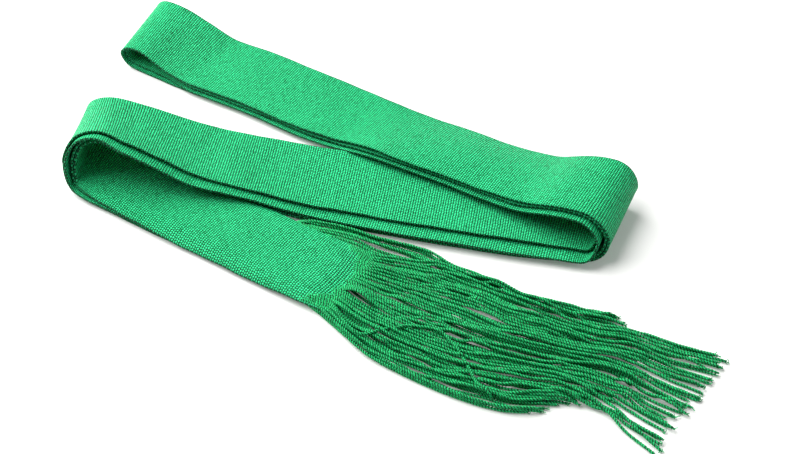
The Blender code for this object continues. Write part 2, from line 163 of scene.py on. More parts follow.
WAVES = (              # the waves that make an uneven line
    # length  shift by seed  size
    (17.0,    1.7,           1.0),
    (7.3,     2.9,           0.6),
    (3.1,     4.1,           0.3),
)
BOW = 3.2              # how far the ribs bow towards the fringe at the band's end
BOW_LENGTH = 60.0      # over how much of the end they do
SKEW = 0.09            # slant of the middle stretch's ribs, as a slope
SKEW_FADE = 40.0       # over how much of each end of the stretch it comes and goes

# Each row is a place along the stack: the middle in plan, the turn of its width from Y
# towards X in degrees, the heights of the near edge, the middle and the far edge, how far
# the third layer stands out, and how far the upper and lower pairs of layers part.
STACK = (
    # place               x      y   turn   near middle    far  step  part
    ("upper start",   -160.0,  76.5,   6.0,  FLAT,  FLAT,  FLAT,  1.5,  0.0),
    ("upper flat",    -126.0,  74.0,   6.0,  FLAT,  FLAT,  FLAT,  2.0,  0.0),
    ("upper floor",    -86.0,  69.0,   6.0,  FLAT,  FLAT,  FLAT,  2.4,  0.0),
    ("upper climb",    -58.0,  65.2,   6.0,   6.4,   4.2,  FLAT,  2.0,  0.0),
    ("upper on",       -40.0,  62.0,   6.0,  10.6,   7.4,  FLAT,  2.0,  0.0),
    ("upper lie",      -19.0,  60.0,   6.0,  11.9,   9.8,  FLAT,  2.0,  0.0),
    ("upper cross",     11.0,  58.5,   6.0,  12.1,  11.8,  FLAT,  2.4,  0.0),
    ("upper rise",      41.0,  55.5,   6.0,  13.0,  13.0,   5.2,  2.6,  0.0),
    ("upper swell",     63.0,  52.5,   5.5,  16.0,  16.0,  10.5,  3.0,  0.0),
    ("upper shoulder",  81.0,  50.5,   4.5,  22.5,  22.5,  19.5,  3.5,  0.0),
    ("right crown",     98.0,  50.5,   3.0,  24.8,  24.4,  23.0,  4.0,  0.2),
    ("right brow",     106.5,  49.5,   0.0,  21.5,  21.2,  20.6,  4.5,  0.8),
    ("right side",     110.5,  48.0,  -2.0,  14.0,  14.0,  13.8,  5.5,  1.2),
    ("right heel",     107.8,  45.5,  -4.0,   6.8,   6.8,   6.8,  6.5,  0.9),
    ("right foot",     100.0,  43.5,  -7.5,  FLAT,  FLAT,  FLAT,  7.5,  0.0),
    ("middle start",    90.0,  41.5, -11.0,  FLAT,  FLAT,  FLAT,  8.0,  0.0),
    ("middle flat",     63.0,  35.0, -11.0,  FLAT,  FLAT,  FLAT,  8.0,  0.0),
    ("middle centre",    8.0,  23.5, -11.0,  FLAT,  FLAT,  FLAT,  8.0,  0.0),
    ("middle floor",   -43.0,  13.5, -11.5,  FLAT,  FLAT,  FLAT,  6.4,  0.0),
    ("middle climb",   -68.0,   8.0, -12.0,   5.4,   4.3,   4.0,  5.9,  0.0),
    ("middle lift",    -86.0,   4.5, -12.0,   8.0,   6.0,   4.8,  5.7,  0.0),
    ("middle on",     -101.0,   0.5, -12.0,  11.0,   9.0,   5.8,  6.0,  0.0),
    ("middle rise",   -121.0,  -4.0, -12.0,  14.4,  11.6,   7.4,  6.6,  0.0),
    ("middle swell",  -141.0,  -8.5, -12.5,  22.2,  16.6,  11.2,  7.2,  0.0),
    ("middle end",    -161.0, -13.0, -15.0,  29.5,  22.2,  16.4,  7.5,  0.0),
    ("left crown",    -180.4, -17.0, -22.0,  34.5,  26.2,  19.6,  6.5,  0.0),
    ("left brow",     -188.4, -21.0, -20.5,  30.8,  23.4,  17.8,  5.0,  0.4),
    ("left side",     -191.6, -25.0, -17.0,  19.0,  15.0,  12.0,  3.5,  0.8),
    ("left heel",     -188.4, -28.0, -14.5,   7.4,   6.9,   6.5,  2.5,  0.4),
    ("left foot",     -176.0, -30.5,  -6.0,  FLAT,  FLAT,  FLAT,  2.0,  0.0),
    ("lower start",   -160.0, -33.5,   9.0,  FLAT,  FLAT,  FLAT,  1.5,  0.0),
    ("lower flat",    -141.0, -36.8,   9.0,  FLAT,  FLAT,  FLAT,  1.0,  0.0),
    ("lower centre",   -85.0, -45.0,   9.0,  FLAT,  FLAT,  FLAT,  0.6,  0.0),
    ("lower under",    -31.0, -52.5,   8.5,  FLAT,  FLAT,  FLAT,  0.6,  0.0),
    ("lower end",       -4.0, -55.0,   7.0,  FLAT,  FLAT,  FLAT,  0.6,  0.0),
)


def smooth_slopes(where, values):
    """Slopes for a smooth curve through the values that never swings past them."""
    steps = np.diff(where)
    rises = np.diff(values) / steps
    slopes = np.concatenate((rises[:1], np.zeros(len(rises) - 1), rises[-1:]))
    for i in range(1, len(values) - 1):
        before, after = rises[i - 1], rises[i]
        if before * after > 0:
            mean = (before * steps[i] + after * steps[i - 1]) / (steps[i] + steps[i - 1])
            slopes[i] = math.copysign(min(abs(mean), 3 * abs(before), 3 * abs(after)), mean)
    return slopes


def curve_through(where, values, s):
    """The smooth curve's values at the distances s."""
    where, values, s = np.asarray(where), np.asarray(values), np.asarray(s)
    slopes = smooth_slopes(where, values)
    i = np.clip(np.searchsorted(where, s) - 1, 0, len(where) - 2)
    length = where[i + 1] - where[i]
    t = (s - where[i]) / length
    return ((2 * t**3 - 3 * t**2 + 1) * values[i] + (t**3 - 2 * t**2 + t) * length * slopes[i]
            + (3 * t**2 - 2 * t**3) * values[i + 1] + (t**3 - t**2) * length * slopes[i + 1])


def ramp(s, start, length):
    """From 0 at the start to 1 a length further on."""
    return np.clip((s - start) / length, 0, 1)


class Lay:
    """The way that a folded stack takes: a surface as wide as the band through a table."""

    def __init__(self, table):
        self.names = [row[0] for row in table]
        self.rows = np.array([row[1:] for row in table], dtype=float)
        steps = np.linalg.norm(np.diff(self.rows[:, [0, 1, 4]], axis=0), axis=1)
        self.where = np.concatenate(([0], np.cumsum(steps)))

    def station(self, name):
        """The distance along the lay of a named place."""
        return float(self.where[self.names.index(name)])

    def values(self, s):
        """The table's columns at the distances s."""
        return [curve_through(self.where, column, s) for column in self.rows.T]

    def point(self, s, w):
        """Points at distances s and at w across, from -1 at the near edge to 1."""
        x, y, turn, near, middle, far, *_ = self.values(s)
        angle = np.radians(turn)
        fall = (far - near) / BAND_WIDTH
        across = HALF * np.sqrt(np.maximum(0, 1 - fall**2)) * w
        height = middle + (far - near) / 2 * w + ((far + near) / 2 - middle) * w**2
        return np.stack((x + across * np.sin(angle), y + across * np.cos(angle), height), axis=-1)

    def normal(self, s, w):
        """Unit normals, up on the upper and lower stretches."""
        ds, dw = 0.4, 0.02
        along = self.point(s + ds, w) - self.point(s - ds, w)
        across = self.point(s, w + dw) - self.point(s, w - dw)
        normal = np.cross(along, across)
        return normal / np.linalg.norm(normal, axis=-1, keepdims=True)

    def bend_steps(self, start, end):
        """Distances for the rows of a shell, close together where it bends."""
        fine = np.linspace(start, end, 400)
        effort = np.zeros(len(fine))
        for w in (-1, 1):
            lines = np.diff(self.point(fine, np.full(len(fine), w)), axis=0)
            lengths = np.linalg.norm(lines, axis=1)
            ways = lines / lengths[:, None]
            bends = np.arccos(np.clip(np.sum(ways[1:] * ways[:-1], axis=1), -1, 1))
            cost = lengths / LONGEST_STEP
            cost[1:] += bends / WIDEST_BEND
            effort = np.maximum(effort, np.concatenate(([0], np.cumsum(cost))))
        count = math.ceil(effort[-1]) + 1
        return np.interp(np.linspace(0, effort[-1], count), effort, fine)


class Layer:
    """One layer of the stack, and where along the band its cloth comes from.

    Its distance from the lay and its shift to the front vary along it. The band runs forward
    or back through it, and band_start is the length of band before the layer's first row.
    """

    def __init__(self, lay, number, distance, shift, way, band_start):
        self.lay, self.number = lay, number
        self.distance, self.shift = distance, shift
        self.way, self.band_start = way, band_start
        self.fine = np.linspace(lay.where[0], lay.where[-1], 3000)
        line = self.place(self.fine, np.zeros(len(self.fine)), 0.0)
        steps = np.linalg.norm(np.diff(line, axis=0), axis=1)
        self.lengths = np.concatenate(([0], np.cumsum(steps)))

    def place(self, s, w, height):
        """Points at distance s and w across the layer, at a height over its middle."""
        tuck = tucked(self.number, s) / HALF
        w = w - self.shift(s) / HALF + tuck * (1 - w) / 2 - FAR_TUCK * tuck * (1 + w) / 2
        distance = self.distance(s, w) + height
        return self.lay.point(s, w) + distance[..., None] * self.lay.normal(s, w)

    def band_at(self, s):
        """Length of band from its start to the distance s."""
        return self.band_start + self.way * np.interp(s, self.fine, self.lengths)


def near_droop(s):
    """How far the top layer's near edge hangs over the others on the lower stretch."""
    first, last = stack.station("left foot"), stack.station("lower centre")
    built = ramp(s, first, last - first)**DROOP_BUILD
    return NEAR_DROOP * built * (1 - DROOP_LESS * ramp(s, band_end - DROOP_END, DROOP_END))


def tucked(number, s):
    """How far the near edge of a layer is tucked in under the top one."""
    if number not in TUCKED:
        return 0.0 * s
    ending = ramp(s, core_end - DRAWN_LENGTH, DRAWN_LENGTH)**2
    return TUCKED[number] * near_droop(s) / NEAR_DROOP + DRAWN_BACK * ending


def uneven(s, seed):
    """A slow wave between -1 and 1 that doesn't repeat over the band's length."""
    waves = sum(size * np.sin(s / length + shift * seed) for length, shift, size in WAVES)
    return waves / math.fsum(size for *_, size in WAVES)


def weave_profile():
    """Round the band's section: places across in mm, and heights."""
    radius = CLOTH / 2 * (1 + SELVEDGE)
    flat = HALF - radius
    across = np.linspace(-flat, flat, COLUMNS)
    bead = 1 + SELVEDGE * np.exp(-((flat - np.abs(across)) / SELVEDGE_WIDTH)**2)
    x = np.concatenate((across, flat + radius * np.sin(ROUND),
                        across[::-1], -flat - radius * np.sin(ROUND)))
    h = np.concatenate((CLOTH / 2 * bead, radius * np.cos(ROUND),
                        -CLOTH / 2 * bead, -radius * np.cos(ROUND)))
    return x, h


def end_faces(first):
    """Faces that close a shell at the ring of points that starts at the number first."""
    under = first + 2 * COLUMNS + len(ROUND) - 1        # the point under the first one
    strips = [[first + n, first + n + 1, under - n - 1, under - n] for n in range(COLUMNS - 1)]
    far_side = [first + COLUMNS - 1 + n for n in range(len(ROUND) + 2)]
    near_side = [under + n for n in range(len(ROUND) + 1)] + [first]
    return [*strips, far_side, near_side]


def cloth_piece(name, layers, start, end):
    """A mesh of the layers' shells between two distances, with the weave's own UV map."""
    x, h = weave_profile()
    ring = len(x)
    points, faces, maps = [], [], []
    length = 0.0
    for layer in layers:
        s = layer.lay.bend_steps(start, end)
        rows = len(s)
        grid_s, grid_x = np.meshgrid(s, x, indexing="ij")
        edge = WANDER * np.where(grid_x > 0, uneven(grid_s, layer.number + 7),
                                 uneven(grid_s, layer.number))
        w = (grid_x + edge * (np.abs(grid_x) / HALF)**3) / HALF
        place = layer.place(grid_s, w, np.broadcast_to(h, grid_s.shape))
        first = sum(len(p) for p in points)
        points.append(place.reshape(-1, 3))
        along = layer.band_at(grid_s)
        length += abs(along[-1, 0] - along[0, 0])
        i, j = np.meshgrid(np.arange(rows - 1), np.arange(ring), indexing="ij")
        k = (j + 1) % ring
        bowed = along + layer.way * rib_drift(layer, grid_s, grid_x)
        corners = ((i, j), (i + 1, j), (i + 1, k), (i, k))
        quads = np.stack([a * ring + b for a, b in corners], -1)
        faces += (first + quads.reshape(-1, 4)).tolist()
        on_band = np.stack([np.stack((x[b] + HALF, bowed[a, b]), -1) for a, b in corners], -2)
        maps.append(on_band.reshape(-1, 2) * MM)
        for row, turned in ((0, False), (rows - 1, True)):
            for face in end_faces(first + row * ring):
                faces.append(face[::-1] if turned else face)
                maps.append(np.zeros((len(face), 2)))
    mesh = bpy.data.meshes.new(name)
    centred = (np.vstack(points) + lay_shift) * MM
    mesh.from_pydata(centred.tolist(), [], faces)
    mesh.uv_layers.new(name="weave").data.foreach_set("uv", np.vstack(maps).ravel())
    mesh.polygons.foreach_set("use_smooth", [True] * len(mesh.polygons))
    mesh.set_sharp_from_angle(angle=SHARP)
    mesh.update()
    piece = bpy.data.objects.new(name, mesh)
    bpy.context.collection.objects.link(piece)
    piece["cloth_length"] = length * MM
    return piece


def rib_drift(layer, s, x):
    """How far the ribs run out of square: bowed at the band's end, skewed where it is pulled."""
    drift = np.zeros_like(s)
    if layer.number == 1:
        near_end = ramp(s, stack.where[-1] - BOW_LENGTH, BOW_LENGTH)
        drift -= BOW * near_end**2 * (1 - (x / HALF)**2)
    if layer.number == 4:
        first, last = stack.station("middle start"), stack.station("left side")
        drift -= SKEW * x * ramp(s, first, SKEW_FADE) * ramp(-s, -last, SKEW_FADE)
    return drift


stack = Lay(STACK)
band_end = stack.station("lower end")
core_end = band_end - CORE_BACK
under_end = band_end - UNDER_BACK


def stack_distance(number):
    """How far a layer lies from the stack's middle, with its waves, by place."""
    side = 0.5 if number < 3 else -0.5

    def distance(s, w):
        part = stack.values(s)[7]
        drop = ramp(s, core_end, CORE_BACK) if number == 1 else 0.0 * s
        over = np.where(stack.normal(s, 0 * w)[..., 2] > 0, 1.0, -1.0)
        wave = LIFT * (1 + uneven(s + LIFT_SLANT * w, 3)) / 2 * w**2
        ease = np.where(w < 0, NEAR_EASE, EASE) * w**2 * upper_share(number, s)
        ease = ease * (1 - EASE_UNEVEN + EASE_UNEVEN * uneven(s + EASE_SLANT * w, number + 11))
        bend = ramp(np.abs(w), 1 - DROOP_WIDTH, DROOP_WIDTH)**2
        if number == 1:
            hang = near_droop(s) * bend * np.where(w < 0, 1.0, FAR_DROOP)
            drop = drop * (1 - bend)
        else:
            hang = near_droop(s) * bend * SUNK.get(number, 0.0)
        rises = over * ramp(s, stack.where[0], LOOP_FADE) * (wave + ease)
        return ((2.5 - number) * PITCH + side * part - END_DROOP * drop**2 * (3 - 2 * drop)
                - hang + rises)

    return distance


def upper_share(number, s):
    """1 where the layer is the uppermost of the stack, and 0 elsewhere."""
    if number not in (1, 4):
        return 0.0 * s
    left, right = stack.station("left crown"), stack.station("right crown")
    if number == 4:
        return ramp(s, right, EASE_FADE) * ramp(-s, -left, EASE_FADE)
    return ramp(-s, BEFORE_CROWN - right, EASE_FADE) + ramp(s, left + PAST_CROWN, EASE_FADE)


def third_shift(s):
    """How far the third layer stands out to the front of the fourth."""
    return stack.values(s)[6]


def under_shift(s):
    """How far the first and second layers do, which are the lowest of the middle stretch."""
    where = [stack.station(name) for name, _ in UNDER_STEP]
    return curve_through(where, [step for _, step in UNDER_STEP], np.clip(s, where[0], where[-1]))


def no_shift(s):
    """The layers that keep to the stack's middle."""
    return 0.0 * s


# The end loop's rows are like the stack's, for the middle of the pair that makes it, whose
# two layers neither part nor stand out by the row.
LOOP = (
    # place               x      y   turn   near middle    far
    ("loop before",   -150.0,  75.5,   6.0,  PAIR,  PAIR,  PAIR),
    ("loop start",    -160.0,  76.5,   6.0,  PAIR,  PAIR,  PAIR),
    ("loop floor",    -193.5,  80.5,   2.0,  PAIR,  PAIR,  PAIR),
    ("loop foot",     -205.4,  81.9,  -0.5,   2.0,   2.0,   2.0),
    ("loop heel",     -212.8,  82.6,  -2.5,   4.2,   4.2,   4.2),
    ("loop side",     -215.8,  83.0,  -3.0,   9.0,   9.0,   9.2),
    ("loop brow",     -212.8,  82.6,  -3.0,  13.2,  13.5,  13.8),
    ("loop crown",    -203.6,  81.6,  -1.0,  15.1,  15.5,  15.8),
    ("loop slope",    -182.5,  79.2,   3.5,   8.6,  10.0,  11.6),
    ("loop end",      -160.0,  76.5,   6.0, ABOVE, ABOVE, ABOVE),
    ("loop after",    -150.0,  75.5,   6.0, ABOVE, ABOVE, ABOVE),
)
# How far the end loop's inner layer stands out to the front of the outer one, by the share of
# the way round: it begins as the third layer and ends as the second.
INNER_STEP = ((0.0, 1.5), (0.25, -2.0), (0.7, -2.0), (1.0, 0.0))

loop = Lay(LOOP)
loop_start, loop_end = loop.station("loop start"), loop.station("loop end")


def loop_distance(side):
    """How far a layer of the end loop lies from the pair's middle."""

    def distance(s, w):
        return side * PITCH / 2 + 0.0 * s * w

    return distance


def inner_shift(s):
    """How far the end loop's inner layer stands out."""
    share = (s - loop_start) / (loop_end - loop_start)
    return curve_through(*np.array(INNER_STEP).T, np.clip(share, 0, 1))


loop_outer = Layer(loop, 5, loop_distance(1), no_shift, 1, 0.0)
loop_inner = Layer(loop, 6, loop_distance(-1), inner_shift, 1, 0.0)
first_layer = Layer(stack, 1, stack_distance(1), under_shift, 1, loop_outer.band_at(loop_end))
second_layer = Layer(stack, 2, stack_distance(2), under_shift, 1, loop_inner.band_at(loop_end))
third_layer = Layer(stack, 3, stack_distance(3), third_shift, -1, loop_inner.band_at(loop_start))
fourth_layer = Layer(stack, 4, stack_distance(4), no_shift, -1, loop_outer.band_at(loop_start))

# The solid of the upper stretch's top layer gives the place of its first corners, and so of
# all the tables.
CAD_CLOTH = 1.6        # thickness of its cloth
CAD_GAP = 0.15         # how far it ends before its seam
corner_s = stack.station("upper start") + CAD_GAP
corners = [stack.point(corner_s, w) + (1.5 * PITCH + side * CAD_CLOTH / 2)
           * stack.normal(corner_s, w) for w in (-1.0, 1.0) for side in (-1, 1)]
upper_low, upper_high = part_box("upper_stretch_face")
lay_shift = np.array((upper_low[0] / MM - min(c[0] for c in corners),
                      upper_high[1] / MM - max(c[1] for c in corners), 0.0))


def add(tree, kind, settings=None, **links):
    """Add a node with its settings, and link or set its inputs by name, or by number as i0."""
    node = tree.nodes.new(kind)
    for key, value in (settings or {}).items():
        setattr(node, key, value)
    for key, value in links.items():
        numbered = key[0] == "i" and key[1:].isdigit()
        socket = node.inputs[int(key[1:]) if numbered else key.replace("_", " ")]
        if isinstance(value, bpy.types.NodeSocket):
            tree.links.new(value, socket)
        else:
            socket.default_value = value
    return node


RIB = 1.41             # from one rib of the weave to the next, along the band
PIP = 1.33             # from one pip to the next along a rib
RELIEF = 0.5           # height of the ribs in the bump
STAGGER = 0.27         # how far the pips of every other rib are moved on, as a share of a pip
WOBBLE = 0.5           # how far the ribs run unevenly, as a share of a rib
CORDS = 40             # cords of the top fringe, which begin as bundles of warp in the last ribs
CORDS_WIDE = 48.5      # from the first cord's near side to the last one's far side
CORDS_CENTRE = 3.0     # how far before the band's end the cords begin, in its middle
CORDS_EDGE = 19.0      # how far before it they begin at its edges
CORDS_SOFT = 1.5       # over how much of the weave each way they do
# The weave's own green (middle) and its paler patches (faded), with the colours of the painted
# highlight on the pips and of the painted shade in the furrows and at the selvedges.
WEAVE_HIGHLIGHT = "#38E99B"
WEAVE_MIDDLE = "#008F49"
WEAVE_SHADE = "#001F0D"
WEAVE_FADED = "#30D48A"


def ribbed_silk_weave():
    """Warp-faced silk, woven with a thick weft.

    It has round ribs across the band, each a row of small pips with a painted highlight, and
    painted shade in the furrows between. At the band's end the warp is bundled into cords, with
    painted shade between the bundles.
    """
    material = bpy.data.materials.new("ribbed_silk_weave")
    material.use_nodes = True
    tree = material.node_tree
    shader = tree.nodes["Principled BSDF"]
    cloth = add(tree, "ShaderNodeUVMap", {"uv_map": "weave"})
    split = add(tree, "ShaderNodeSeparateXYZ", i0=cloth.outputs[0])
    drift = add(tree, "ShaderNodeTexNoise", Vector=cloth.outputs[0], Scale=260.0, Detail=2.0)
    patches = add(tree, "ShaderNodeTexNoise", Vector=cloth.outputs[0], Scale=38.0, Detail=3.0)

    def maths(operation, a, b=0.0, c=0.0):
        return add(tree, "ShaderNodeMath", {"operation": operation}, i0=a, i1=b, i2=c).outputs[0]

    def spread(value, low, high, to_low=0.0, to_high=1.0):
        return add(tree, "ShaderNodeMapRange", i0=value, i1=low, i2=high, i3=to_low,
                   i4=to_high).outputs[0]

    def blend(factor, first, second):
        return add(tree, "ShaderNodeMix", {"data_type": "RGBA"}, i0=factor, i6=first,
                   i7=second).outputs[2]

    def arches(value):
        return maths("ABSOLUTE", maths("SINE", maths("MULTIPLY", value, math.pi)))

    def speckle(x, y):
        place = add(tree, "ShaderNodeCombineXYZ", i0=maths("FLOOR", x), i1=maths("FLOOR", y))
        return add(tree, "ShaderNodeTexWhiteNoise", {"noise_dimensions": "2D"},
                   Vector=place.outputs[0]).outputs["Value"]

    # The weave's ribs and pips.
    wobble = maths("MULTIPLY_ADD", drift.outputs["Fac"], WOBBLE, -WOBBLE / 2)
    along = maths("ADD", maths("DIVIDE", split.outputs["Y"], RIB * MM), wobble)
    rib = arches(along)
    step = maths("MULTIPLY", maths("MODULO", maths("FLOOR", along), 2.0), STAGGER)
    across = maths("ADD", step, maths("DIVIDE", split.outputs["X"], PIP * MM))
    pip = arches(across)
    woven = maths("MULTIPLY", maths("POWER", rib, 0.7), maths("MULTIPLY_ADD", pip, 0.75, 0.25))

    # The bundles of warp at the band's end, which begin sooner towards its edges.
    side = maths("SUBTRACT", maths("DIVIDE", split.outputs["X"], HALF * MM), 1.0)
    edge_way = maths("POWER", maths("ABSOLUTE", side), 3.0)
    begins = maths("MULTIPLY_ADD", edge_way, CORDS_EDGE - CORDS_CENTRE, CORDS_CENTRE)
    begins = maths("ADD", begins, spread(drift.outputs["Fac"], 0.3, 0.7, -2.0, 5.0))
    from_end = maths("SUBTRACT", first_layer.band_at(band_end),
                     maths("DIVIDE", split.outputs["Y"], MM))
    corded = spread(maths("SUBTRACT", begins, from_end), -CORDS_SOFT, CORDS_SOFT)
    bundle = maths("DIVIDE", maths("ADD", split.outputs["X"], (CORDS_WIDE / 2 - HALF) * MM),
                   CORDS_WIDE / CORDS * MM)
    strand = maths("POWER", arches(bundle), 0.6)
    relief = maths("ADD", maths("MULTIPLY", woven, maths("MULTIPLY_ADD", corded, -0.6, 1.0)),
                   maths("MULTIPLY", maths("MULTIPLY", strand, corded), 0.9))

    # Its colours: painted shade in the furrows, deeper on some flecks, and between the bundles of
    # warp, and a painted highlight on the pips, which differs at random from thread to thread and
    # fleck to fleck.
    thread = speckle(across, along)
    fleck = speckle(maths("MULTIPLY", across, 2.0), maths("MULTIPLY", along, 2.0))
    unshaded = maths("SUBTRACT", 1.0, maths("MULTIPLY", corded, maths("SUBTRACT", 1.0, strand)))
    furrow = maths("MULTIPLY", spread(woven, 0.26, 0.78), unshaded)
    furrow = maths("MULTIPLY", furrow, spread(fleck, 0.0, 0.45, 0.75, 1.0))
    shine = maths("ADD", maths("MULTIPLY", thread, 0.45), maths("MULTIPLY", fleck, 0.9))
    glint = maths("MULTIPLY", spread(woven, 0.3, 0.85), maths("ADD", shine, 0.25))
    ground = blend(furrow, srgb(WEAVE_SHADE), srgb(WEAVE_MIDDLE))
    colour = blend(glint, ground, srgb(WEAVE_HIGHLIGHT))
    faded = blend(spread(patches.outputs["Fac"], 0.45, 0.8, 0.0, 0.12), colour, srgb(WEAVE_FADED))
    # Painted shade along both selvedges, growing towards the very edge.
    rim = spread(maths("ABSOLUTE", side), 0.965, 0.99, 0.0, 0.6)
    edged = blend(rim, faded, srgb(WEAVE_SHADE))
    bump = add(tree, "ShaderNodeBump", Height=relief, Distance=RELIEF * MM, Strength=1.0)
    tree.links.new(edged, shader.inputs["Base Color"])
    tree.links.new(bump.outputs[0], shader.inputs["Normal"])
    shader.inputs["Roughness"].default_value = 0.5
    shader.inputs["Specular IOR Level"].default_value = 0.1
    return material


weave = ribbed_silk_weave()
upper = stack.station("upper start"), stack.station("upper shoulder")
right = upper[1], stack.station("middle start")
middle = right[1], stack.station("middle end")
left = middle[1], stack.station("lower start")
lower = left[1], band_end
CLOTH_PIECES = (
    ("upper_stretch_face", [first_layer], *upper),
    ("upper_stretch_core", [second_layer, third_layer, fourth_layer], *upper),
    ("right_turn_outer", [first_layer, second_layer], *right),
    ("right_turn_inner", [third_layer, fourth_layer], *right),
    ("middle_stretch_face", [fourth_layer], *middle),
    ("middle_stretch_core", [first_layer, second_layer, third_layer], *middle),
    ("left_turn_outer", [third_layer, fourth_layer], *left),
    ("left_turn_inner", [first_layer, second_layer], *left),
    ("lower_stretch_face", [first_layer], *lower),
    ("lower_stretch_second", [second_layer], lower[0], under_end),
    ("lower_stretch_core", [third_layer, fourth_layer], lower[0], core_end),
    ("end_loop_outer", [loop_outer], loop_start, loop_end),
    ("end_loop_inner", [loop_inner], loop_start, loop_end),
)
for node, layers, start, end in CLOTH_PIECES:
    cloth = cloth_piece(node + "_cloth", layers, start, end)
    cloth.data.materials.append(weave)
    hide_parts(node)
    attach(cloth, "root")

# The fringe at each end of the band.
# The warp left beyond the weave is twisted into two-ply cords of about 2 mm. They come out of
# the last ribs, lie down over one another in loose bundles and end in small frayed loops.
PLY = 0.60             # radius of each of a cord's two plies
PLY_APART = 0.41       # from the cord's middle to a ply's middle
TWIST = 3.3            # length of one full twist
CORD_STEP = 0.80       # between two rings of a ply
PLY_SIDES = 4
CORD_FLOOR = 1.05      # height of the middle of a cord that lies on the floor
NESTLE = 1.60          # from cord to cord where they press on each other
CELL = 0.5             # of the grid on which the cords settle
STIFF = 5              # points of a cord on each side over which it bridges a hollow
STRAY_STIFF = 13       # and the same for a cord that strays over the others
SPRING = 0.35          # how far it presses into what lies under it
HEAP_LOW = (-60, -120)              # corners in plan of the floor that the fringes lie on
HEAP_HIGH = (225, 5)
# How high a cord may lie under the top layer's cloth, and how high it hangs as it leaves the
# band, by the distance from its root.
UNDER_CLOTH = ((0.0, 5.1), (53.0, 5.1), (69.0, 12.0), (250.0, 12.0))
HANG_TOP = ((0.0, 4.8), (6.0, 4.4), (26.0, CORD_FLOOR), (250.0, CORD_FLOOR))
HANG_UNDER = ((0.0, 4.8), (38.0, 4.8), (59.0, CORD_FLOOR), (250.0, CORD_FLOOR))
# The near and far borders of each fringe in plan, from its root to its tips.
TOP_NEAR = ((5, -86), (25, -92), (60, -94.5), (95, -88), (125, -81),
            (150, -80), (172, -86), (187, -90))
TOP_FAR = ((25, -23), (60, -21), (95, -24), (130, -26), (150, -21.5),
           (172, -20.5), (198, -17.5))
UNDER_NEAR = ((-17, -79.5), (5, -89.5), (27, -97), (53, -101), (80, -103),
              (104, -101.5), (124, -93))
UNDER_FAR = ((-47, -19.6), (-37, -16.6), (-27, -14.8), (-4, -13.6), (18, -12.6),
             (42, -17), (76, -19.5), (104, -18), (136, -13.5))
# Cords that stray across the others: the fringe, the cord, the share of its length after
# which it leaves its place, and the places that it then passes.
STRAYS = (
    ("fringe_top", 2, 0.04, ((17.8, -89.2), (28.4, -79.6), (39.8, -70.3), (52.9, -67.3),
                             (66.9, -74.2), (79.2, -85.4), (88, -94), (96, -98))),
    ("fringe_top", 8, 0.72, ((154, -76), (170, -84.5), (186, -91.5))),
    ("fringe_top", 5, 0.72, ((150, -79), (167, -88), (184, -95))),
)
CROWDED = (            # how the lower fringe's cords crowd to its borders, as shares of its width
    # at the root  on the floor
    (0.0,          0.0),
    (0.32,         0.2),
    (0.78,         0.86),
    (1.0,          1.0),
)
MIDDLE_LONGER = 0.18   # how much longer the hidden middle cords of the lower fringe are
SHORTER = 0.05         # share of its length that a cord may lack
BUNDLE = (2, 6)        # fewest cords of a bundle, and one more than the most
BUNDLE_SWING = 0.015   # how far a bundle swings aside, as a share of the fringe's width
CORD_SWING = 0.010     # how far a cord does by itself
CORD_RIPPLE = 0.006    # how far its small bends go
TIP_SPREAD = 0.012     # how far its tip stands off its place
CORD_POINTS = 320      # points of a cord's way
STRAY_EVERY = 24       # of these points, those that a stray keeps until it leaves its place
ROOT_SIDE = 0.97       # where the outermost cords come out, as a share of the band's half width
ROOT_OUT = 0.5         # how far past the band's end the cords' ways in plan begin
ROOT_POINTS = 24       # points of a cord in the weave
ROOT_LAST = 0.2        # how far before the band's end the last of them is
ROOT_DEEP = -0.5       # height at which it begins, from the middle of the weave
ROOT_HIGH = 0.25       # how much more than half the weave it rises
ROOT_RISE = 5.0        # over how much of its way it does
ROOT_RAGGED = 4.0      # by how much some of them begin sooner
ROOT_BLEND = 12.0      # over how much of its way out it falls to where it hangs
OUTER_SHARE = 0.25     # share of the cords on each side that fall to the floor sooner
OUTER_FALL = 8.0       # how soon the outermost ones do
FRAYS = 3              # loose threads at a cord's tip
FRAY_STEP = 0.7
FRAY_RADIUS = 0.26
FRAY_SIDES = 3
FRAY_FLOOR = 0.25      # height of the middle of a thread that lies on the floor
KNOT = 0.95            # radius of the small loops at the tips
KNOT_ROUND = 0.9       # how far round they go, in turns
# Colours of the painted highlight on the cords' plies and of the painted shade between them.
CORD_HIGHLIGHT = "#22C874"
CORD_SHADE = "#001A0A"


